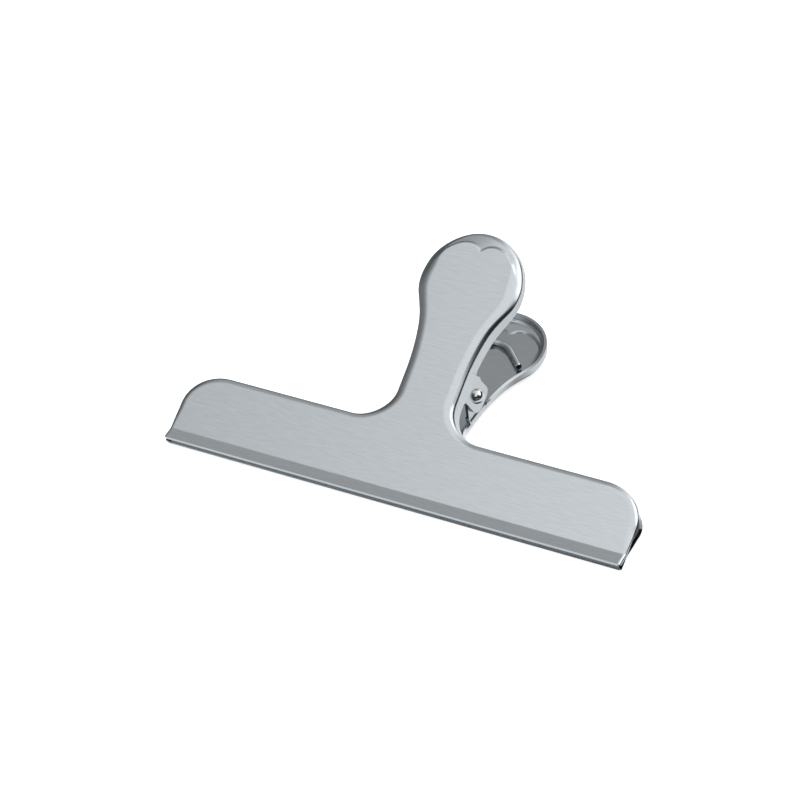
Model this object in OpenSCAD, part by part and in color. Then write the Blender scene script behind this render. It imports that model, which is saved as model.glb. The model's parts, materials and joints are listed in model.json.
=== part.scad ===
// Wide-jaw spring clip, millimetres. Two pressed steel plates turn on a riveted pivot pin, and a
// torsion spring on the pin pushes their handles apart, which holds the jaws shut.
// The clip lies on the outer side of its rear plate: X runs along the jaws, Y from the jaws to the
// tops of the handles, Z up. The origin is under the middle of the clip.
// Each plate is drawn flat first: X along the jaws, Y up its face from the edge of the lip, Z out.

/* [Plates] */
// Length of the jaws
jaw_w = 140; // [110:1:200]
// Height of a plate along its face, from the edge of the lip to the top of the handle
plate_h = 80; // [76:1:110]
// Height of the jaw bar, from the edge of the lip to the top edge of the bar
bar_h = 21.2; // [18:0.1:23]
// Thickness of the sheet
sheet = 0.8; // [0.5:0.05:1]
// Angle between the plates when the jaws are shut
spread = 30.9; // [27:0.1:38]
// Depth of the turned-in rim round the handle, from the outer face
handle_rim = 4; // [2.5:0.1:4.8]
// Depth of the turned-in rim along the top of the bar, from the outer face
bar_rim = 2.4; // [1.2:0.1:2.8]
// Width of the rounded top corners of the bar
corner_w = 12.2; // [6:0.1:16]
// Height of the rounded top corners of the bar
corner_h = 10.2; // [6:0.1:12]
// Radius of the hollow corners where the bar meets the neck
throat_r = 9.5; // [5:0.1:11]

/* [Handle] */
// Width of the neck
neck_w = 19.7; // [17:0.1:24]
// Width of the head at its widest
head_w = 29.4; // [26:0.1:36]
// Height of the head above its widest line
head_rise = 16.4; // [13:0.1:19]

/* [Lips] */
// Height of the strip along the jaw that is bent outwards
lip_h = 3.2; // [2:0.1:5]
// How far the edge of the lip stands out from the plate
lip_out = 1.6; // [1:0.1:2.4]
// Gap between the shut jaws
jaw_gap = 0.1; // [0.05:0.05:0.3]

/* [Ears] */
// Width of an ear
ear_w = 8.2; // [6:0.1:9]
// How far an ear reaches past the middle of the pin
ear_reach = 5.7; // [4.6:0.1:5.8]
// Height of an ear above the hollow corners of the bar
ear_lift = 2.1; // [1:0.1:4]
// Gap between an inner ear and the outer ear beside it
ear_gap = 0.15; // [0.1:0.05:0.3]
// Height over which an inner ear steps in from the rim
joggle_h = 1.2; // [0.8:0.1:1.6]

/* [Pivot pin] */
// Diameter of the shank
pin_d = 2.4; // [1.6:0.1:3]
// Diameter of the domed heads
pin_head_d = 4.4; // [3.6:0.1:5]
// Height of the domed heads
pin_head_h = 2; // [0.8:0.1:2.2]
// Radial clearance of the pin in the inner ears, which turn on it
turning_fit = 0.05; // [0.02:0.01:0.1]
// Radial clearance of the pin in the outer ears, which it is riveted to
rivet_fit = 0.02; // [0.01:0.01:0.05]

/* [Torsion spring] */
// Diameter of the wire
wire_d = 1.8; // [1.2:0.1:2.2]
// Gap between neighbouring turns
turn_gap = 0.05; // [0.03:0.01:0.1]
// Gap between the coil and the pin
coil_gap = 0.6; // [0.3:0.05:0.8]
// Least gap between the ends of the coil and the inner ears
coil_side_gap = 1; // [0.4:0.1:2]
// Gap between an arm and its plate
arm_gap = 0.15; // [0.1:0.01:0.3]
// Height of the crook's top on the plate, from the top of the handle down
crook_drop = 11.5; // [9:0.1:14]
// Radius of the crook that each arm ends in
crook_r = 7.5; // [5:0.1:8.5]
// Distance of the crook's centre from the middle of the handle
crook_off = 1; // [0:0.1:2]
// Length of the straight end of an arm, past the crook
arm_end = 7.8; // [3:0.1:9]

/* [Hidden] */
$fn = 64;

REAR = 1;
FRONT = -1;
ARC_STEPS = 9;                  // points along each arc of a plate's outline
EXTRA = 1;                      // how far a cutting shape runs past what it cuts
WIRE_SIDES = 8;                 // sides of the wire's section
TURN_STEPS = 16;                // rings in one turn of the coil

lean = spread/2;                // each plate leans this far from the middle plane
lip_slope = norm([lip_h, lip_out])/lip_h;
bend_t = lip_h - lip_h*sheet*(lip_slope - 1)/lip_out;   // inner line of the lip's bend: the jaws meet here
pin_t = bar_h + throat_r + ear_lift + ear_w/2;
pin_up = (pin_t - bend_t)/cos(lean);                    // height of the pin above the jaw line
pin_n = -(pin_t - bend_t)*tan(lean) - sheet - jaw_gap/2;
head_t = plate_h - head_rise;
head_r = head_w/2;
ear_top = pin_t + ear_w/2;
rest_tilt = atan(lip_out/plate_h);                      // the rear plate rests on its lip and its handle top

// From the pin up, the neck widens into the head along a hollow arc that touches both.
flare_run = head_t - pin_t;
flare_r = (pow(flare_run, 2) + pow(neck_w/2, 2) - pow(head_r, 2))/(2*(head_r - neck_w/2));
flare_turn = atan2(flare_run, neck_w/2 + flare_r);
ear_x = neck_w/2 - sheet - ear_gap;                     // outer face of an inner ear

function arc(cx, cy, rx, ry, from, to) =
    [for (i = [0:ARC_STEPS]) let (a = from + (to - from)*i/ARC_STEPS) [cx + rx*cos(a), cy + ry*sin(a)]];

// Right half of a plate's outline, set in by d, from the bottom corner up to the top of the handle.
function half_outline(d, bottom) = concat(
    [[jaw_w/2 - d, bottom]],
    arc(jaw_w/2 - corner_w, bar_h - corner_h, corner_w - d, corner_h - d, 0, 90),
    arc(neck_w/2 + throat_r, bar_h + throat_r, throat_r + d, throat_r + d, 270, 180),
    arc(neck_w/2 + flare_r, pin_t, flare_r + d, flare_r + d, 180, 180 - flare_turn),
    arc(0, head_t, head_r - d, head_r - d, flare_turn*(1/ARC_STEPS - 1), 0),
    arc(0, head_t, head_r - d, head_rise - d, 90/ARC_STEPS, 90));

module outline(d, bottom) {
    half = half_outline(d, bottom);
    last = len(half) - 1;
    polygon(concat(half, [for (i = [last - 1:-1:0]) [-half[i][0], half[i][1]]]));
}

// Extrudes a side view, drawn as height up the plate and distance out, along X from x on.
module from_side(x, length) {
    translate([x, 0, 0]) rotate([90, 0, 90]) linear_extrude(length) children();
}

// The panel with its turned-in rim. The rim is deep round the handle, shallow along the bar, and
// runs out to nothing down the ends of the bar.
module pan() {
    intersection() {
        difference() {
            translate([0, 0, -handle_rim]) linear_extrude(handle_rim) outline(0, lip_h);
            translate([0, 0, -handle_rim - EXTRA])
                linear_extrude(handle_rim + EXTRA - sheet) outline(sheet, lip_h - EXTRA);
        }
        from_side(-jaw_w/2 - EXTRA, jaw_w + 2*EXTRA) polygon([
            [lip_h - EXTRA, EXTRA], [lip_h - EXTRA, -sheet], [lip_h, -sheet],
            [bar_h - corner_h, -bar_rim], [bar_h, -bar_rim],
            [bar_h + throat_r, -handle_rim - EXTRA/10], [plate_h + EXTRA, -handle_rim - EXTRA/10],
            [plate_h + EXTRA, EXTRA]]);
    }
}

module lip() {
    from_side(-jaw_w/2, jaw_w) polygon([
        [lip_h + sheet, 0], [lip_h, 0], [0, lip_out], [0, lip_out - sheet*lip_slope],
        [bend_t, -sheet], [lip_h + sheet, -sheet]]);
}

// Side view of an ear: a tab with a round end, which stands in from the rim and past the pin.
module ear_shape() {
    round_n = pin_n - ear_reach + ear_w/2;
    translate([pin_t, round_n]) circle(ear_w/2);
    translate([pin_t - ear_w/2, round_n]) square([ear_w, -round_n - 2*sheet]);
}

module ear_bores(fit) {
    translate([-neck_w, pin_t, pin_n]) rotate([0, 90, 0]) cylinder(h = 2*neck_w, r = pin_d/2 + fit);
}

// The outer ears continue the rim of the neck straight in.
module outer_ears() {
    for (x = [-neck_w/2, neck_w/2 - sheet]) from_side(x, sheet) ear_shape();
}

// The inner ears step in from the rim, so that they fit between the outer ears.
module inner_ears() {
    rim_x = neck_w/2;
    step_n = joggle_h - handle_rim;
    low_n = pin_n - ear_reach - EXTRA;
    for (side = [0, 1]) mirror([side, 0, 0]) intersection() {
        from_side(0, neck_w) ear_shape();
        translate([0, ear_top + EXTRA, 0]) rotate([90, 0, 0]) linear_extrude(ear_w + 2*EXTRA) polygon([
            [rim_x, 0], [rim_x, step_n], [ear_x, step_n - joggle_h], [ear_x, low_n],
            [ear_x - sheet, low_n], [ear_x - sheet, step_n - joggle_h], [rim_x - sheet, step_n],
            [rim_x - sheet, 0]]);
    }
}

// Point on a plate, t up its face and n out of it, in the clip's upright frame: [Y, Z] with the
// jaw line at the origin and the middle plane upright.
function upright(side, t, n) = let (along = t - bend_t, out = n + sheet + jaw_gap/2) [
    side*(along*sin(lean) + out*cos(lean)), along*cos(lean) - out*sin(lean)];

// The same point once the upright clip is laid down on its rear plate.
lay_turn = -(90 - lean + rest_tilt);
function laid(p) = [p[0]*cos(lay_turn) - p[1]*sin(lay_turn), p[0]*sin(lay_turn) + p[1]*cos(lay_turn)];

jaw_end_y = laid(upright(FRONT, 0, lip_out))[0];
handle_end_y = laid(upright(REAR, plate_h, -handle_rim))[0];
low_z = laid(upright(REAR, 0, lip_out))[1];

module lay_down() {
    translate([0, -(jaw_end_y + handle_end_y)/2, -low_z]) rotate([lay_turn, 0, 0]) children();
}

// Stands a flat plate up as the front one. Half a turn about the upright makes it the rear one.
module stand_front() {
    rotate([90 + lean, 0, 0]) translate([0, -bend_t, sheet + jaw_gap/2]) children();
}

module rear_plate() {
    color("silver") lay_down() rotate([0, 0, 180]) stand_front() difference() {
        union() {
            pan();
            lip();
            inner_ears();
        }
        ear_bores(turning_fit);
    }
}

module front_plate() {
    color("silver") lay_down() stand_front() difference() {
        union() {
            pan();
            lip();
            outer_ears();
        }
        ear_bores(rivet_fit);
    }
}

// A rivet: a plain shank with a dome at each end, closed down on the outer ears.
module pivot_pin() {
    dome_r = (pow(pin_head_d/2, 2) + pow(pin_head_h, 2))/(2*pin_head_h);
    color("gainsboro") lay_down() translate([0, 0, pin_up]) {
        rotate([0, 90, 0]) cylinder(h = neck_w + pin_head_h/2, d = pin_d, center = true);
        for (side = [0, 1]) mirror([side, 0, 0]) translate([neck_w/2, 0, 0]) rotate([0, 90, 0])
            rotate_extrude() intersection() {
                translate([0, pin_head_h - dome_r]) circle(dome_r);
                square([dome_r, dome_r]);
            }
    }
}

// The spring is one wire: up one plate's arm and crook, round the coil, and out to the other's.
// Its route is worked out in the upright frame as [point, side], where side is a direction across
// the wire that keeps its section from twisting.
coil_r = pin_d/2 + coil_gap + wire_d/2;
coil_pitch = wire_d + turn_gap;
arm_n = -(sheet + arm_gap + wire_d/2);              // the crook lies this far in from the plate's face
crook_t = plate_h - crook_drop - crook_r;           // height of the crook's centre up the plate
crook_x = crook_off + crook_r;                      // where the arm meets the crook
arm_run = crook_t - pin_t;
arm_rise = arm_n - pin_n;
arm_tilt = atan2(arm_rise, arm_run) - asin(coil_r/norm([arm_run, arm_rise]));
part_turn = (180 - 2*(lean + arm_tilt))/360;
coil_room = 2*(ear_x - sheet - coil_side_gap) - wire_d;
coil_angle = 360*(floor(coil_room/coil_pitch - part_turn) + part_turn);
coil_half = coil_pitch*coil_angle/720;              // from the middle of the coil to either end

// Front plate's own directions in the upright frame: up its face, and out of it.
up_face = [0, -sin(lean), cos(lean)];
out_face = [0, -cos(lean), -sin(lean)];
pin_at = [0, 0, pin_up];

function on_front(x, t, n) = pin_at + [x, 0, 0] + (t - pin_t)*up_face + (n - pin_n)*out_face;

arm_start = [coil_half, pin_t - coil_r*sin(arm_tilt), pin_n + coil_r*cos(arm_tilt)];
arm_bend = [crook_x, crook_t, arm_n];
front_arm = concat(
    [for (i = [1:5]) arm_start + (arm_bend - arm_start)*i/6],
    [for (i = [0:12]) let (a = 135*i/12) [crook_off + crook_r*cos(a), crook_t + crook_r*sin(a), arm_n]],
    [for (i = [1:2]) let (end = arm_end*i/2) [
        crook_off + crook_r*cos(135) - end*cos(45), crook_t + crook_r*sin(135) - end*sin(45), arm_n]]);
front_route = [for (p = front_arm) [on_front(p[0], p[1], p[2]), out_face]];
rear_route = [for (i = [len(front_route) - 1:-1:0]) let (r = front_route[i]) [half_turn(r[0]), half_turn(r[1])]];
coil_rings = ceil(coil_angle/360*TURN_STEPS);
coil_route = [for (i = [0:coil_rings]) let (
        a = -(lean + arm_tilt) - coil_angle*i/coil_rings,
        radial = [0, cos(a), sin(a)])
    [pin_at + [coil_half*(2*i/coil_rings - 1), 0, 0] + coil_r*radial, radial]];

function half_turn(p) = [-p[0], -p[1], p[2]];
function unit(v) = v/norm(v);

// Rings of the wire's section about each point of a route, square to the wire there.
function wire_rings(route) = [for (i = [0:len(route) - 1]) let (
        ahead = route[min(i + 1, len(route) - 1)][0],
        behind = route[max(i - 1, 0)][0],
        along = unit(ahead - behind),
        side = unit(route[i][1] - (route[i][1]*along)*along),
        across = cross(along, side))
    for (k = [0:WIRE_SIDES - 1]) let (a = 360*(k + 0.5)/WIRE_SIDES)
        route[i][0] + wire_d/2*(cos(a)*side + sin(a)*across)];

module torsion_spring() {
    route = concat(rear_route, coil_route, front_route);
    last = len(route) - 1;
    walls = [for (i = [0:last - 1], k = [0:WIRE_SIDES - 1]) let (
            a = i*WIRE_SIDES + k,
            b = i*WIRE_SIDES + (k + 1)%WIRE_SIDES)
        each [[a, a + WIRE_SIDES, b], [b, a + WIRE_SIDES, b + WIRE_SIDES]]];
    ends = [
        [for (k = [0:WIRE_SIDES - 1]) k],
        [for (k = [WIRE_SIDES - 1:-1:0]) last*WIRE_SIDES + k]];
    color("darkgray") lay_down() polyhedron(wire_rings(route), concat(walls, ends));
}

rear_plate();
front_plate();
pivot_pin();
torsion_spring();
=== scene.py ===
import json
from math import atan, atan2, cos, degrees, hypot, pi, radians, sin, tan

import bmesh
import bpy
import numpy as np
from mathutils import Matrix, Vector


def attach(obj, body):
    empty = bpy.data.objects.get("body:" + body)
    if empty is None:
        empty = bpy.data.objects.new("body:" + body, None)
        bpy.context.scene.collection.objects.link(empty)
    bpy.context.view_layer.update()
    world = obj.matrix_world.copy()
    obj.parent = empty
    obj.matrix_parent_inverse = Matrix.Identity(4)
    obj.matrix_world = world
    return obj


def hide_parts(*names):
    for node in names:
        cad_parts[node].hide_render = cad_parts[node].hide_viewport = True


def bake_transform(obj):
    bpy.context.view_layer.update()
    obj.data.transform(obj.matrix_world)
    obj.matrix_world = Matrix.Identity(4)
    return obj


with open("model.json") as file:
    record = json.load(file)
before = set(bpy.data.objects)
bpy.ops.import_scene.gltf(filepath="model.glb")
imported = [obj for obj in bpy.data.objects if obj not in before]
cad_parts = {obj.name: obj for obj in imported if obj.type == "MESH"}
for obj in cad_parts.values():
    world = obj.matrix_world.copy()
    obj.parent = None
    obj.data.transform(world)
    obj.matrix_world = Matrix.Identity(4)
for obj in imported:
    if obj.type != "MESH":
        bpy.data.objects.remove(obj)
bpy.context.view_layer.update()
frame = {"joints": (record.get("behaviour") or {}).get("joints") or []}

# --- Camera -----------------------------------------------------------------------------------
# A long lens looks down on the clip from its jaw side and from its right. The camera leans a
# little, so the jaws run down to the right.
AIM = Vector((-0.0083, -0.0131, 0.0128))
CAMERA_AZIMUTH = radians(34.08)
CAMERA_ELEVATION = radians(40.75)
CAMERA_LEAN = radians(8.92)
CAMERA_DISTANCE = 0.8457
LENS_MM = 139.8
SENSOR_MM = 36
CLIP_START = 0.01

camera_data = bpy.data.cameras.new("camera")
camera_data.lens = LENS_MM
camera_data.sensor_width = SENSOR_MM
camera_data.clip_start = CLIP_START
camera = bpy.data.objects.new("camera", camera_data)
bpy.context.scene.collection.objects.link(camera)
away = Vector((sin(CAMERA_AZIMUTH)*cos(CAMERA_ELEVATION), -cos(CAMERA_AZIMUTH)*cos(CAMERA_ELEVATION),
               sin(CAMERA_ELEVATION)))
turned = away.to_track_quat("Z", "Y").to_matrix().to_4x4() @ Matrix.Rotation(-CAMERA_LEAN, 4, "Z")
camera.matrix_world = Matrix.Translation(AIM + CAMERA_DISTANCE*away) @ turned
bpy.context.scene.camera = camera
bpy.context.scene.view_settings.view_transform = "Standard"


# --- Floor and light --------------------------------------------------------------------------
# A plain white floor under a light tent, with one soft lamp overhead. The tent's walls are pale,
# brighter at the right and dimmer at the left. Dark openings and a dark gap give the steel its edges.
def linear(hex_colour):
    """Linear red, green, blue and alpha of an sRGB hex colour: the sRGB curve undone per channel."""
    srgb = [int(hex_colour[i:i + 2], 16)/255 for i in (1, 3, 5)]
    return [c/12.92 if c <= 0.04045 else ((c + 0.055)/1.055)**2.4 for c in srgb] + [1]


def add_node(tree, kind, settings=None, links=None):
    """Adds a node. settings holds values for its properties, or for its sockets by name or number.
    links maps the node's sockets to the output sockets that feed them."""
    made = tree.nodes.new(kind)
    for name, value in (settings or {}).items():
        if isinstance(name, int) or name in made.inputs:
            made.inputs[name].default_value = value
        else:
            setattr(made, name, value)
    for name, source in (links or {}).items():
        tree.links.new(source, made.inputs[name])
    return made


FLOOR_HALF = 4.0
floor_mesh = bpy.data.meshes.new("floor")
floor_mesh.from_pydata([(-FLOOR_HALF, -FLOOR_HALF, 0), (FLOOR_HALF, -FLOOR_HALF, 0),
                        (FLOOR_HALF, FLOOR_HALF, 0), (-FLOOR_HALF, FLOOR_HALF, 0)], [], [(0, 1, 2, 3)])
floor = bpy.data.objects.new("floor", floor_mesh)
bpy.context.scene.collection.objects.link(floor)
# White matt paper, lit a little from below, so that it stays white and the shadow stays faint.
floor_paint = bpy.data.materials.new("white_matt_paper")
floor_paint.use_nodes = True
paint = floor_paint.node_tree.nodes["Principled BSDF"]
paint.inputs["Base Color"].default_value = linear("#f4f4f4")
paint.inputs["Roughness"].default_value = 0.9
paint.inputs["Emission Color"].default_value = (1, 1, 1, 1)
paint.inputs["Emission Strength"].default_value = 0.6
floor.data.materials.append(floor_paint)
floor.visible_glossy = False

LAMP_AT = Vector((-0.5, 0.1, 1.3))
lamp_data = bpy.data.lights.new("overhead_softbox", "AREA")
lamp_data.shape = "RECTANGLE"
lamp_data.size = 1.2
lamp_data.size_y = 0.9
lamp_data.energy = 12
lamp = bpy.data.objects.new("overhead_softbox", lamp_data)
bpy.context.scene.collection.objects.link(lamp)
lamp.visible_glossy = False
lamp.matrix_world = Matrix.Translation(LAMP_AT) @ LAMP_AT.to_track_quat("Z", "Y").to_matrix().to_4x4()

world = bpy.data.worlds.new("light_tent")
world.use_nodes = True
bpy.context.scene.world = world
tent = world.node_tree
tent.nodes.clear()
looking = add_node(tent, "ShaderNodeTexCoord").outputs["Generated"]
# Across the tent the light falls off towards the left: pairs of the sideways part of the direction
# and the brightness there.
TENT_RAMP = [(-1.0, 0.20), (-0.85, 0.24), (-0.72, 0.30), (-0.62, 0.50), (-0.51, 0.70), (-0.34, 1.12)]


def facing_part(direction):
    """Socket that gives the cosine of the angle between the way looked and a direction."""
    return add_node(tent, "ShaderNodeVectorMath", {"operation": "DOT_PRODUCT", 1: direction},
                    {0: looking}).outputs["Value"]


sideways = facing_part((1, 0, 0))
tent_light = add_node(tent, "ShaderNodeValue").outputs[0]
tent_light.default_value = TENT_RAMP[0][1]
for (left, dim), (right, bright_value) in zip(TENT_RAMP, TENT_RAMP[1:]):
    share = add_node(tent, "ShaderNodeMapRange",
                     {"From Min": left, "From Max": right, "To Min": 0.0, "To Max": bright_value - dim},
                     {"Value": sideways})
    tent_light = add_node(tent, "ShaderNodeMath", {"operation": "ADD"},
                          {0: tent_light, 1: share.outputs[0]}).outputs[0]


def smooth_step(value, low, high):
    """Socket that eases from 0 at low to 1 at high."""
    return add_node(tent, "ShaderNodeMapRange",
                    {"interpolation_type": "SMOOTHSTEP", "From Min": low, "From Max": high},
                    {"Value": value}).outputs[0]


def product(first, second):
    """Socket that multiplies two others."""
    return add_node(tent, "ShaderNodeMath", {"operation": "MULTIPLY"}, {0: first, 1: second}).outputs[0]


def laid_over(below, brightness, share):
    """Socket that mixes an even brightness over another light by a share from 0 to 1."""
    return add_node(tent, "ShaderNodeMix", {"data_type": "FLOAT", 3: brightness},
                    {0: share, 2: below}).outputs[0]


# Patches of the tent: the middle of each as a direction, the angles from it where the patch starts
# to fade and where it ends, and its brightness.
TENT_PATCHES = [
    ((0.0, 0.0, -1.0), 50, 75, 0.95),
    ((0.0, 0.0, -1.0), 18, 38, 0.05),
    ((-0.75, 0.55, 0.40), 22, 52, 0.29),
    ((-0.82, 0.42, 0.38), 10, 32, 0.12),
    ((-0.45, 0.42, 0.79), 8, 25, 0.50),
    ((0.20, -0.97, 0.0), 22, 44, 0.03),
    ((0.80, -0.50, 0.33), 16, 38, 0.03),
    ((0.61, 0.43, 0.67), 16, 36, 2.10),
]
for middle, fade_from, fade_to, brightness in TENT_PATCHES:
    towards = facing_part(Vector(middle).normalized())
    inside = smooth_step(towards, cos(radians(fade_to)), cos(radians(fade_from)))
    tent_light = laid_over(tent_light, brightness, inside)
# A dark gap round the right-hand side, where the tent's wall ends above the white floor. The pairs
# are the heights along the gap's own axis where its lower and upper edges fade, and how far to the
# right it starts.
GAP_AXIS = Vector((0.04, -0.35, 0.93)).normalized()
GAP_LOWER_EDGE = (-0.34, -0.14)
GAP_UPPER_EDGE = (0.44, 0.20)
GAP_START = (0.15, 0.45)
GAP_BRIGHTNESS = 0.02
height = facing_part(GAP_AXIS)
gap = product(smooth_step(height, *GAP_LOWER_EDGE), smooth_step(height, *GAP_UPPER_EDGE))
gap = product(gap, smooth_step(sideways, *GAP_START))
tent_light = laid_over(tent_light, GAP_BRIGHTNESS, gap)
glow = add_node(tent, "ShaderNodeBackground", links={"Color": tent_light})
add_node(tent, "ShaderNodeOutputWorld", links={"Surface": glow.outputs[0]})


# --- Plates -----------------------------------------------------------------------------------
# Two pressings of 0.8 mm stainless sheet, brushed along the jaws: a T-shaped panel with a rolled
# shoulder, a turned-in rim, a lip bent out along the jaw and a bevel round the top of the handle.
# Two ears carry the pivot pin, and the rear plate's ears step in between the front's.

# Sizes are in millimetres, in the plate's own s, t and n: across it from the middle line, up it from
# the lip's edge, and out of its face.
JAW_HALF = 70.0
PLATE_H = 80.0
BAR_H = 21.2
CORNER_W, CORNER_H = 12.2, 10.2
THROAT_R = 9.5
NECK_HALF = 9.85
HEAD_R, HEAD_RISE = 14.7, 16.4
SHEET = 0.8
LIP_H, LIP_OUT = 3.2, 1.6
JAW_GAP = 0.1
LEAN = radians(15.45)
HANDLE_RIM, BAR_RIM, END_RIM = 4.0, 2.4, 0.95
CROWN_R = 5.6
HEAD_SPLAY = 0.6
EAR_W = 8.2
EAR_LIFT = 2.1
EAR_REACH = 5.7
EAR_FILLET = 1.1
EAR_GAP = 0.15
PIN_R = 1.2
TURNING_FIT = 0.05
EDGE_ROUND = 0.12
# Width of the band in from each jaw's end, and depth below the face, where that end is painted dark as
# shade.
SHADED_END_BAND, SHADED_END_FROM = 0.4, 0.8
HAIR = 1e-6
MM = 0.001

HEAD_T = PLATE_H - HEAD_RISE
BEND_T = LIP_H - LIP_H*SHEET*(hypot(LIP_H, LIP_OUT)/LIP_H - 1)/LIP_OUT
PIN_T = BAR_H + THROAT_R + EAR_LIFT + EAR_W/2
PIN_N = -(PIN_T - BEND_T)*tan(LEAN) - SHEET - JAW_GAP/2
REST_TILT = atan(LIP_OUT/PLATE_H)
PIN_AT = np.array(frame["joints"][0]["pos_m"])/MM


def arc(centre, radii, start, end, count):
    """Points on an ellipse's arc: centre plus (rx cos a, ry sin a), a evenly from start to end degrees."""
    a = np.radians(np.linspace(start, end, count))
    return np.stack([centre[0] + radii[0]*np.cos(a), centre[1] + radii[1]*np.sin(a)], 1)


def line(start, end, count):
    """Points evenly along a straight line."""
    return np.linspace(start, end, count)


def ease(x, low, high):
    """Smooth step: 0 below low, 1 above high, 3k^2 - 2k^3 between, k being the share of the way."""
    k = np.clip((x - low)/(high - low), 0, 1)
    return k*k*(3 - 2*k)


def right_edge():
    """The right half of the plate's outline from the lip's corner to the top of the handle, as
    points, their outward normals, and the place on the middle line that each is joined to. The
    outline is a straight end, an elliptic corner, the bar's top, a hollow throat, the neck, a hollow
    flare that touches neck and head, and the round head. Each part below is its points and the
    stretch of the middle line that it is joined to."""
    flare_run = HEAD_T - PIN_T
    flare_r = (flare_run**2 + NECK_HALF**2 - HEAD_R**2)/(2*(HEAD_R - NECK_HALF))
    flare_turn = degrees(atan2(flare_run, NECK_HALF + flare_r))
    flare_mid = (NECK_HALF + flare_r, PIN_T)
    low, high = PIN_T - EAR_W/2, PIN_T + EAR_W/2
    near = EAR_FILLET*(1 - np.cos(np.linspace(0, pi/2, 9)))
    ear_rows = np.concatenate([low - near[::-1], np.linspace(low, high, 25)[1:-1], high + near])
    rise = np.concatenate([np.linspace(BAR_H + THROAT_R, low - EAR_FILLET, 4)[:-1], ear_rows])
    side = np.where(rise > PIN_T, flare_mid[0] - np.sqrt(flare_r**2 - (rise - PIN_T)**2), NECK_HALF)
    above = degrees(np.arcsin((high + EAR_FILLET - PIN_T)/flare_r))
    lip_rows = np.array([0, 0.5, 1.1, 1.7, 2.2, 2.6, 2.85, 3.05, 3.2, 3.35, 3.55, 3.8, 4.2, 5.0])
    parts = [
        (np.stack([np.full(len(lip_rows), JAW_HALF), lip_rows], 1), (0, 5)),
        (line((JAW_HALF, 5.0), (JAW_HALF, BAR_H - CORNER_H), 8), (5, 8)),
        (arc((JAW_HALF - CORNER_W, BAR_H - CORNER_H), (CORNER_W, CORNER_H), 0, 90, 33), (8, 12)),
        (line((JAW_HALF - CORNER_W, BAR_H), (NECK_HALF + THROAT_R, BAR_H), 34), (12, 16.5)),
        (arc((NECK_HALF + THROAT_R, BAR_H + THROAT_R), (THROAT_R, THROAT_R), 270, 180, 33), (16.5, 26)),
        (np.stack([side, rise], 1), (26, 38)),
        (arc(flare_mid, (flare_r, flare_r), 180 - above, 180 - flare_turn, 30), (38, 56)),
        (arc((0, HEAD_T), (HEAD_R, HEAD_R), -flare_turn, 0, 16), (56, 60)),
        (arc((0, HEAD_T), (HEAD_R, HEAD_RISE), 0, 90, 76), (60, 67)),
    ]
    points = np.concatenate([p[:-1] for p, _ in parts[:-1]] + [parts[-1][0]])
    middle = np.concatenate([np.linspace(a, b, len(p))[:-1] for p, (a, b) in parts[:-1]]
                            + [np.linspace(*parts[-1][1], len(parts[-1][0]))])
    middle[:len(lip_rows)] = points[:len(lip_rows), 1]
    along = np.gradient(points, axis=0)
    along /= np.linalg.norm(along, axis=1)[:, None]
    outward = np.stack([along[:, 1], -along[:, 0]], 1)
    outward[0] = (1, 0)
    outward[-1] = (0, 1)
    return points, outward, middle


def lip_rise(t):
    """How far the lip stands out: its slope times the depth below the bend, eased over the bend."""
    bend = 0.12
    x = (LIP_H - t)/bend
    return LIP_OUT/LIP_H*bend*np.logaddexp(0, x)


def head_bevel(s, t):
    """Drop of the face round the top of the handle. The bevel deepens towards the rim and fades out
    down the sides. It ends at a heart-shaped line, dipping in the middle, where the face steps up to
    its flat: the bevel's width is 1.5 mm and a sharp peak of 5.3 mm more at the top."""
    drop, run, hollow = 1.1, 6.9, 1.3
    fade_from, fade_to = 32, 72
    step_run = 0.6
    radius = np.hypot(s, t - HEAD_T)
    turn = np.degrees(np.arctan2(np.abs(s), t - HEAD_T))
    up = np.cos(np.radians(turn))
    edge = 1/np.hypot(np.sin(np.radians(turn))/HEAD_R, up/HEAD_RISE)
    width = 1.5 + 5.3*np.exp(-(np.hypot(turn, 1.5)/17)**0.8)
    share = np.clip((radius - edge + width)/width, 0, 1)
    from_edge = np.clip((edge - radius)/run, 0, 1)
    slope = drop*(1 - from_edge)**hollow*(1 - ease(turn, fade_from, fade_to))
    return slope*ease(share*width, 0, step_run)


def rim_depth(points):
    """Depth of the rim's free edge below the face. It is shallow along the bar, where it stays clear
    of the plane in which the plates meet, is cut back at the bar's ends, and is deeper round the
    handle."""
    cut_back, least = 0.45, 1.05
    end_from, end_to = 65, 69.5
    s, t = points.T
    bar = np.clip(SHEET + (t - BEND_T)*tan(LEAN), END_RIM, BAR_RIM)
    bar = np.maximum(bar*(1 - cut_back*ease(s, end_from, end_to)), np.minimum(bar, least))
    on_handle = ease(t, BAR_H, BAR_H + THROAT_R)
    return bar + (HANDLE_RIM - BAR_RIM)*on_handle


def fillet_depth(t):
    """Extra depth of the rim where it runs into an ear, along a quarter circle at each side."""
    off = np.abs(t - PIN_T) - EAR_W/2
    x = np.clip(EAR_FILLET - off, 0, EAR_FILLET)
    return EAR_FILLET - np.sqrt(np.maximum(EAR_FILLET**2 - x**2, 0))


def step_in(t, depth, amount):
    """How far a stepped ear stands in from the rim: the whole amount below the step, easing to none
    over 1.6 mm beside the ear."""
    step_from, step_to, beside_run = HANDLE_RIM - 0.5, HANDLE_RIM + 0.7, 1.6
    beside = 1 - ease(np.abs(t - PIN_T), EAR_W/2, EAR_W/2 + beside_run)
    return amount*ease(depth, step_from, step_to)*beside


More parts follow.
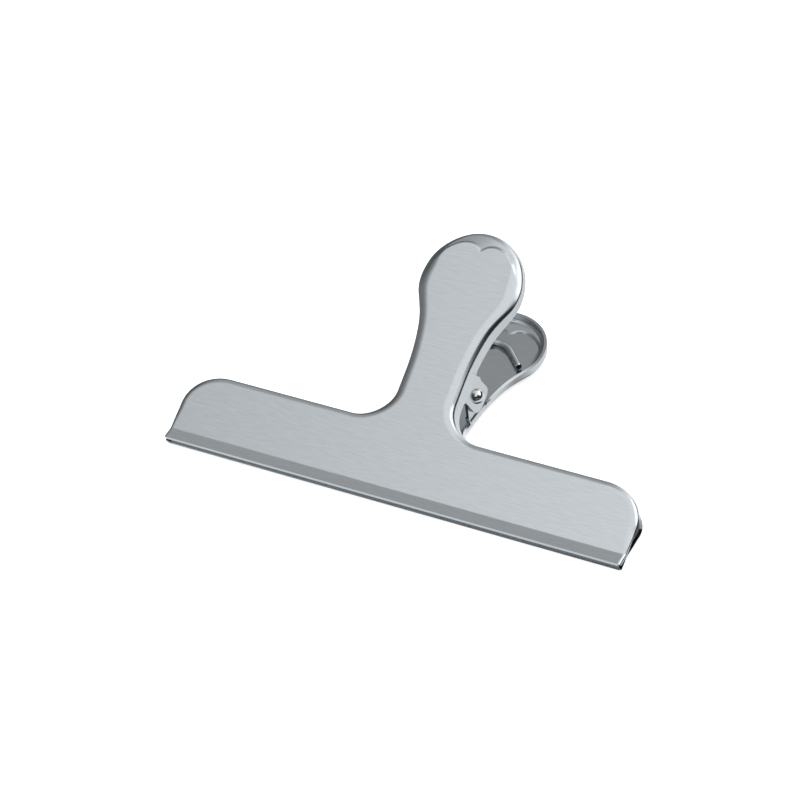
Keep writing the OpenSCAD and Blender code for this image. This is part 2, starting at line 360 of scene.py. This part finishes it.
def shoulder_section(crown_r, crown_turn, corner_r, corner_turn):
    """The rolled edge in section, from the top of the rim's wall to the flat of the face, as
    distance in from the wall and depth below the face: a tight arc of radius corner_r between the
    two slopes, then a wide arc of radius crown_r."""
    share = np.linspace(1, 0, 9)[:, None]
    corner = crown_turn + (corner_turn - crown_turn)*share
    crown = crown_turn*share[1:]
    crown_down = crown_r*(1 - np.cos(crown_turn))
    out = np.concatenate([crown_r*np.sin(crown_turn) + corner_r*(np.sin(corner) - np.sin(crown_turn)),
                          crown_r*np.sin(crown)])
    down = np.concatenate([crown_down + corner_r*(np.cos(crown_turn) - np.cos(corner)),
                           crown_r*(1 - np.cos(crown))])
    return np.stack([out[:1] - out, down], -1)


def plate_surface(ear_step):
    """The right half of a plate's outer face as two grids of (s, t, n), the sheet and its ear. The
    sheet's lines run from the rim's free edge up the wall, over the shoulder and across the face to
    the middle line. The shoulder's radii and slopes ease from bar to neck to head."""
    edge, outward, middle = right_edge()
    s, t = edge.T
    neck = ease(t, 20, 29)*(1 - ease(t, 52, 68))
    low_end = ease(t, LIP_H, BAR_H - CORNER_H)
    crest = ease(t, 66, 79)
    crown_turn = np.radians(12 + 28*low_end - 21*neck - 8*crest)
    corner_turn = np.radians(90 - 18*neck)
    handle = ease(t, BAR_H - 0.5, BAR_H + THROAT_R)
    crown_r = 2.4 + (CROWN_R - 2.4)*handle - (CROWN_R - 1.6)*crest
    corner_r = 0.85 + 0.45*handle + 0.8*neck
    depth = rim_depth(edge)
    near_neck = s < NECK_HALF + 1
    on_ear = (np.abs(t - PIN_T) < EAR_W/2 + EAR_FILLET + HAIR) & near_neck
    splay = HEAD_SPLAY*ease(t, 50, 60)*outward[:, 0]**2
    section = shoulder_section(crown_r, crown_turn, corner_r, corner_turn)
    shoulder_down = section[0, :, 1]
    lean_out = (depth - shoulder_down)/np.tan(corner_turn)
    inset = lean_out - splay + section[..., 0]
    depth = depth + np.where(on_ear, fillet_depth(t), 0)
    face = lip_rise(t) - head_bevel(s, t)
    free = lip_rise(t) - depth

    up = np.linspace(0, 1, 11)[:-1, None]
    wall_n = free + (face - shoulder_down - free)*up
    wall_in = lean_out*up - splay
    wall_st = edge[None] - outward[None]*wall_in[..., None]
    wall_s = wall_st[..., 0] - step_in(t, -wall_n, ear_step)
    wall = np.stack([wall_s, wall_st[..., 1], wall_n], -1)

    roll_st = edge[None] - outward[None]*inset[..., None]
    roll_n = (lip_rise(roll_st[..., 1]) - head_bevel(roll_st[..., 0], roll_st[..., 1])
              - section[..., 1])
    shoulder = np.concatenate([roll_st, roll_n[..., None]], -1)

    across = (np.linspace(0, 1, 41)[1:, None, None])**1.35
    spine = np.stack([0*middle, middle], 1)
    face_st = roll_st[-1] + (spine - roll_st[-1])*across
    face_n = lip_rise(face_st[..., 1]) - head_bevel(face_st[..., 0], face_st[..., 1])
    panel = np.concatenate([face_st, face_n[..., None]], -1)
    root = np.flatnonzero((np.abs(t - PIN_T) < EAR_W/2 + HAIR) & near_neck)
    return np.concatenate([wall, shoulder, panel]), ear_surface(edge[root], free[root[0]], ear_step)


def ear_surface(root, root_n, ear_step):
    """An ear of the right half as a grid of (s, t, n): rays from its outline to the bore. Its root is
    the part of the rim's edge that it hangs from. Its end has a wide corner towards the jaw and a
    tighter one towards the handle."""
    root_s, root_t = root.T
    ear_side, ear_end = EAR_W/2, EAR_REACH - ear_step
    join = PIN_N - root_n
    jaw_r, handle_r = 3.9, 2.4
    jaw_corner = arc((-ear_side + jaw_r, ear_end - jaw_r), (jaw_r, jaw_r), 180, 90, 17)
    handle_corner = arc((ear_side - handle_r, ear_end - handle_r), (handle_r, handle_r), 90, 0, 15)
    loop = np.concatenate([
        line((-ear_side, join), jaw_corner[0], 14)[1:-1], jaw_corner,
        line(jaw_corner[-1], handle_corner[0], 8)[1:-1], handle_corner,
        line(handle_corner[-1], (ear_side, join), 14)[1:-1]])
    root_row = np.stack([root_t - PIN_T, np.full(len(root), join)], 1)
    loop = np.concatenate([root_row[::-1], loop, root_row[-1:]])
    bearing = np.arctan2(loop[:, 1], loop[:, 0])
    bore = (PIN_R + TURNING_FIT)*np.stack([np.cos(bearing), np.sin(bearing)], 1)
    inward = np.linspace(0, 1, 12)[:, None, None]
    rays = loop + (bore - loop)*inward
    ear_t = rays[..., 0] + PIN_T
    ear_n = PIN_N - rays[..., 1]
    neck_s = np.interp(ear_t, root_t, root_s)
    return np.stack([neck_s - step_in(ear_t, -ear_n, ear_step), ear_t, ear_n], -1)


def grid_faces(rows, columns, first):
    """Four-cornered faces of a grid whose vertices start at first, row by row."""
    r, c = np.meshgrid(np.arange(rows - 1), np.arange(columns - 1), indexing="ij")
    a = first + (r*columns + c).ravel()
    return np.stack([a, a + 1, a + columns + 1, a + columns], 1)


def stand(points, facing):
    """From a plate's own s, t, n to the row frame in metres. The front plate (facing 1) leans back by
    the angle between the plates less the tilt at rest; the rear (facing -1) lies face down."""
    tilt = 2*LEAN - REST_TILT if facing > 0 else -REST_TILT
    x = np.array([facing, 0, 0])
    up_face = np.array([0, cos(tilt), sin(tilt)])
    out = np.cross(x, up_face)
    s, t, n = points.reshape(-1, 3).T
    return (PIN_AT + s[:, None]*x + (t - PIN_T)[:, None]*up_face + (n - PIN_N)[:, None]*out)*MM


def mesh_piece(name, vertices, faces, thickness=0.0, edge_round=0.0):
    """A smooth-shaded piece made from numpy vertices and faces, merged where grids meet. A sheet
    gets its thickness inwards and its cut edges rounded."""
    merge, sliver = 2e-6, 1e-7
    mesh = bpy.data.meshes.new(name)
    mesh.from_pydata(vertices.tolist(), [], faces.tolist())
    work = bmesh.new()
    work.from_mesh(mesh)
    bmesh.ops.remove_doubles(work, verts=work.verts, dist=merge)
    bmesh.ops.dissolve_degenerate(work, edges=work.edges, dist=sliver)
    work.to_mesh(mesh)
    work.free()
    mesh.polygons.foreach_set("use_smooth", np.ones(len(mesh.polygons), bool))
    piece = bpy.data.objects.new(name, mesh)
    bpy.context.scene.collection.objects.link(piece)
    if thickness:
        solid = piece.modifiers.new("sheet_thickness", "SOLIDIFY")
        solid.thickness = thickness
        solid.offset = -1
        solid.use_even_offset = True
    if edge_round:
        rounding = piece.modifiers.new("cut_edges", "BEVEL")
        rounding.width = edge_round
        rounding.segments = 2
        rounding.limit_method = "ANGLE"
        rounding.angle_limit = radians(50)
        rounding.harden_normals = True
    return piece


def mesh_points(piece):
    """The piece's vertices as rows of x, y and z in millimetres."""
    flat = np.zeros(3*len(piece.data.vertices))
    piece.data.vertices.foreach_get("co", flat)
    return flat.reshape(-1, 3)/MM


def mark(piece, name, where):
    """Stores 1 at some of the piece's vertices and 0 at the others, for its material to read."""
    marks = piece.data.attributes.new(name, "FLOAT", "POINT")
    marks.data.foreach_set("value", where.astype(float))


def pressed_plate(name, facing, ear_step):
    """A whole plate: the right half's grids and their mirror image, turned over so that both face
    outwards, then stood in place. The lower part of each jaw's end is marked for painted shade."""
    vertices, faces, first = [], [], 0
    for grid in plate_surface(ear_step):
        rows, columns = grid.shape[:2]
        quads = grid_faces(rows, columns, 0)
        for side in (1, -1):
            vertices.append(stand(grid*np.array([side, 1, 1]), facing))
            turned_quads = quads if side > 0 else quads[:, ::-1]
            faces.append(turned_quads + first)
            first += rows*columns
    piece = mesh_piece(name, np.concatenate(vertices), np.concatenate(faces), SHEET*MM, EDGE_ROUND*MM)
    points = mesh_points(piece)
    origin, up_tip, out_tip = stand(np.array([[0, 0, 0], [0, 1, 0], [0, 0, 1.0]]), facing)/MM
    t = (points - origin) @ (up_tip - origin)
    n = (points - origin) @ (out_tip - origin)
    # Painted shade: the lower part of each jaw's end wall, on both faces of the sheet, is marked to be
    # painted near black for the gap between the plates.
    at_end = np.abs(points[:, 0]) > JAW_HALF - SHADED_END_BAND
    mark(piece, "painted_end_shade", at_end & (n - lip_rise(t) < -SHADED_END_FROM))
    return piece


front_plate = pressed_plate("front_plate_pressing", 1, 0)
rear_plate = pressed_plate("rear_plate_pressing", -1, SHEET + EAR_GAP)


def metal(name):
    """A new metal, as the material, its node tree, its surface node and a socket with the place on
    the piece."""
    made = bpy.data.materials.new(name)
    made.use_nodes = True
    surface = made.node_tree.nodes["Principled BSDF"]
    surface.inputs["Metallic"].default_value = 1
    spot = add_node(made.node_tree, "ShaderNodeTexCoord").outputs["Object"]
    return made, made.node_tree, surface, spot


def two_tone(tree, low, high, pattern):
    """Socket that runs from one hex colour to another as the pattern goes from 0 to 1."""
    return add_node(tree, "ShaderNodeMix", {"data_type": "RGBA", 6: linear(low), 7: linear(high)},
                    {0: pattern}).outputs[2]


def darkened(tree, tone, dark, attribute):
    """Socket that gives the tone, or a dark hex colour where the piece's attribute is 1."""
    here = add_node(tree, "ShaderNodeAttribute", {"attribute_name": attribute}).outputs["Fac"]
    return add_node(tree, "ShaderNodeMix", {"data_type": "RGBA", 7: linear(dark)},
                    {0: here, 6: tone}).outputs[2]


# Stainless steel 304, dry brushed along the jaws: satin, with fine streaks that run with the jaw.
# The lower part of each jaw's end is painted near black: painted shade where the two plates meet.
BRUSH_LINE_MM = 0.3
BRUSH_LENGTH_MM = 4.0
brushed, tree, steel, place = metal("brushed_stainless_steel")
streaks = add_node(tree, "ShaderNodeMapping",
                   {"Scale": (1/(BRUSH_LENGTH_MM*MM), 1/(BRUSH_LINE_MM*MM), 1/(BRUSH_LINE_MM*MM))},
                   {"Vector": place})
lines = add_node(tree, "ShaderNodeTexNoise", {"Scale": 1.0, "Detail": 4.0, "Roughness": 0.6},
                 {"Vector": streaks.outputs[0]})
clouds = add_node(tree, "ShaderNodeTexNoise", {"Scale": 60.0, "Detail": 3.0}, {"Vector": place})
tone = two_tone(tree, "#b8bec2", "#cfd5d9", lines.outputs[0])
grain = add_node(tree, "ShaderNodeMapRange", {"To Min": 0.17, "To Max": 0.25},
                 {"Value": lines.outputs[0]})
smear = add_node(tree, "ShaderNodeMath", {"operation": "MULTIPLY_ADD", 1: 0.06, 2: -0.03},
                 {0: clouds.outputs[0]})
rough = add_node(tree, "ShaderNodeMath", {"operation": "ADD"}, {0: grain.outputs[0], 1: smear.outputs[0]})
scratch = add_node(tree, "ShaderNodeBump", {"Strength": 0.2, "Distance": 0.02*MM},
                   {"Height": lines.outputs[0]})
# Painted shade: near black where the jaw's end is marked for it.
tree.links.new(darkened(tree, tone, "#16181a", "painted_end_shade"), steel.inputs["Base Color"])
tree.links.new(rough.outputs[0], steel.inputs["Roughness"])
tree.links.new(scratch.outputs[0], steel.inputs["Normal"])
for piece, body, node in ((front_plate, "front", "front_plate"), (rear_plate, "rear", "rear_plate")):
    piece.data.materials.append(brushed)
    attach(piece, body)
    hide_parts(node)


# --- Pivot pin --------------------------------------------------------------------------------
# A rivet of bright formed steel. Its shank runs through all four ears, and a dome is closed down
# on each outer ear, so it turns with the front plate.
HEAD_RADIUS = 2.2
DOME_H = 2.0
HEAD_SINK = 0.02
HEAD_CHAMFER = 0.06


def turned_piece(name, profile, count):
    """A profile of (x, radius) points turned about the pin's axis: (x, r cos a, r sin a)."""
    a = np.linspace(0, 2*pi, count, endpoint=False)
    x, r = profile[:, 0, None], profile[:, 1, None]
    points = np.stack([x + 0*a, r*np.cos(a), r*np.sin(a)], -1)
    closed = np.concatenate([points, points[:, :1]], 1)
    vertices = (closed.reshape(-1, 3) + PIN_AT)*MM
    return mesh_piece(name, vertices, grid_faces(len(profile), count + 1, 0))


dome_r = (HEAD_RADIUS**2 + DOME_H**2)/(2*DOME_H)
dome_turn = degrees(atan2(HEAD_RADIUS, dome_r - DOME_H))
dome = arc((0, 0), (1, 1), 0, dome_turn, 17)
dome_side = np.stack([NECK_HALF + DOME_H - dome_r*(1 - dome[:, 0]), dome_r*dome[:, 1]], 1)
dome_side[0, 1] = 0.0
seat = NECK_HALF - HEAD_SINK
under_head = np.array([[seat, HEAD_RADIUS - HEAD_CHAMFER], [seat, PIN_R]])
half_profile = np.concatenate([dome_side, under_head])
rivet_profile = np.concatenate([half_profile, half_profile[::-1]*np.array([-1, 1])])
pin = turned_piece("pivot_rivet", rivet_profile, 64)

# Bright formed steel: almost a mirror, with the faint unevenness that the riveting tool leaves.
bright, tree, steel, place = metal("bright_formed_steel")
dents = add_node(tree, "ShaderNodeTexNoise", {"Scale": 900.0, "Detail": 2.0}, {"Vector": place})
tone = two_tone(tree, "#c9cbcc", "#dadbdb", dents.outputs[0])
sheen = add_node(tree, "ShaderNodeMapRange", {"To Min": 0.06, "To Max": 0.14}, {"Value": dents.outputs[0]})
hammer = add_node(tree, "ShaderNodeBump", {"Strength": 0.2, "Distance": 0.03*MM},
                  {"Height": dents.outputs[0]})
tree.links.new(tone, steel.inputs["Base Color"])
tree.links.new(sheen.outputs[0], steel.inputs["Roughness"])
tree.links.new(hammer.outputs[0], steel.inputs["Normal"])
pin.data.materials.append(bright)
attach(pin, "front")
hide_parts("pivot_pin")


# --- Torsion spring ---------------------------------------------------------------------------
# One length of 1.8 mm spring wire, coiled round the pin. A straight arm leaves each end of the coil
# for one handle, and ends there in a flat crook that bears on the inside of the plate.
WIRE_R = 0.9
TURN_GAP = 0.05
COIL_GAP = 0.6
COIL_R = PIN_R + COIL_GAP + WIRE_R
COIL_SIDE_GAP = 1.0
ARM_GAP = 0.15
CROOK_DROP, CROOK_R, CROOK_OFF = 11.5, 7.5, 1.0
ARM_END = 7.8
WIRE_SIDES = 20
CUT_CHAMFER = 0.12
STEPS_PER_TURN = 40

arm_n = -(SHEET + ARM_GAP + WIRE_R)
crook_t = PLATE_H - CROOK_DROP - CROOK_R
arm_run, arm_rise = crook_t - PIN_T, arm_n - PIN_N
arm_tilt = atan2(arm_rise, arm_run) - np.arcsin(COIL_R/hypot(arm_run, arm_rise))
part_turn = (pi - 2*(LEAN + arm_tilt))/(2*pi)
coil_pitch = 2*WIRE_R + TURN_GAP
coil_room = 2*(NECK_HALF - 2*SHEET - EAR_GAP - COIL_SIDE_GAP) - 2*WIRE_R
turns = int(coil_room/coil_pitch - part_turn) + part_turn
coil_half = coil_pitch*turns/2


def half_turn(points):
    """Half a turn about the upright line through the pin, in the upright frame."""
    return points*np.array([-1, -1, 1])


# The wire's route in an upright frame centred on the pin: x along the jaws, y from the front plate
# to the rear one, z up to the handles.
up_face = np.array([0, -sin(LEAN), cos(LEAN)])
out_face = np.array([0, -cos(LEAN), -sin(LEAN)])
arm_start = np.array([coil_half, -COIL_R*sin(arm_tilt), COIL_R*cos(arm_tilt) + PIN_N])
bend = arc((CROOK_OFF, crook_t - PIN_T), (CROOK_R, CROOK_R), 0, 135, 33)
end_from = bend[-1]
end_to = end_from + ARM_END*np.array([-sin(pi/4), -cos(pi/4)])
flat = np.concatenate([bend, line(end_from, end_to, 9)[1:]])
flat = np.concatenate([flat, np.full((len(flat), 1), arm_n)], 1)
arm = np.concatenate([line(arm_start, flat[0], 14)[1:-1], flat])
arm = arm[:, :1]*np.array([1, 0, 0]) + arm[:, 1:2]*up_face + (arm[:, 2:] - PIN_N)*out_face
wind = np.linspace(0, 1, int(turns*STEPS_PER_TURN))
angle = -(LEAN + arm_tilt) - 2*pi*turns*wind
coil = np.stack([coil_half*(2*wind - 1), COIL_R*np.cos(angle), COIL_R*np.sin(angle)], 1)
route = np.concatenate([half_turn(arm[::-1]), coil, arm])


def wire(path, radius, sides):
    """A round wire along a path, as a grid of points. Each ring is square to the path, its side
    direction carried on from the ring before. Each cut end is a flat disc with a narrow chamfer."""
    along = np.gradient(path, axis=0)
    along /= np.linalg.norm(along, axis=1)[:, None]
    side = np.cross(along[0], [0, 0, 1.0])
    ring_sides = []
    for step in along:
        side = side - step*(side @ step)
        side = side/np.linalg.norm(side)
        ring_sides.append(side)
    side = np.array(ring_sides)
    across = np.cross(along, side)
    chamfer = along*CUT_CHAMFER
    path = np.concatenate([path[:1], path[:1], path[:1] + chamfer[:1], path[1:-1],
                           path[-1:] - chamfer[-1:], path[-1:], path[-1:]])
    radii = np.full(len(path), radius)
    radii[[1, -2]] = radius - CUT_CHAMFER
    radii[[0, -1]] = 0
    order = np.concatenate([[0, 0, 0], np.arange(1, len(side) - 1), [-1, -1, -1]])
    a = np.linspace(0, 2*pi, sides + 1)
    a[-1] = 0
    ring = side[order, None]*np.cos(a)[:, None] + across[order, None]*np.sin(a)[:, None]
    return path[:, None] + radii[:, None, None]*ring


# Laid down with the clip, about the pin.
lay = -(pi/2 - LEAN + REST_TILT)
upright = wire(route, WIRE_R, WIRE_SIDES)
laid = upright @ np.array([[1, 0, 0], [0, cos(lay), -sin(lay)], [0, sin(lay), cos(lay)]]).T + PIN_AT
spring = mesh_piece("torsion_spring_wire", laid.reshape(-1, 3)*MM, grid_faces(*laid.shape[:2], 0))

# The discs at the two cut ends are marked for painted shade: near an end's middle, and not inside its
# plane.
CUT_DEPTH = 0.02
points = mesh_points(spring)
on_cut = np.zeros(len(points), bool)
for end, inside in ((laid[0], laid[3]), (laid[-1], laid[-4])):
    end_mid = end[:-1].mean(0)
    outwards = end_mid - inside[:-1].mean(0)
    outwards /= np.linalg.norm(outwards)
    near_end = np.linalg.norm(points - end_mid, axis=1) < 1.2*WIRE_R
    on_cut |= near_end & ((points - end_mid) @ outwards > -CUT_DEPTH)
mark(spring, "painted_cut_end_shade", on_cut)

# Drawn spring wire: smooth bright steel with faint marks from the die. Its cut ends are painted near
# black, as painted shade on the cut faces.
spring_steel, tree, steel, place = metal("drawn_spring_wire")
draw_marks = add_node(tree, "ShaderNodeTexNoise", {"Scale": 700.0, "Detail": 3.0}, {"Vector": place})
tone = two_tone(tree, "#c4c9cc", "#d6dbde", draw_marks.outputs[0])
sheen = add_node(tree, "ShaderNodeMapRange", {"To Min": 0.14, "To Max": 0.26},
                 {"Value": draw_marks.outputs[0]})
# Painted shade: the discs at the wire's cut ends are near black.
tree.links.new(darkened(tree, tone, "#1c1d1e", "painted_cut_end_shade"), steel.inputs["Base Color"])
tree.links.new(sheen.outputs[0], steel.inputs["Roughness"])
spring.data.materials.append(spring_steel)
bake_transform(spring)
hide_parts("torsion_spring")
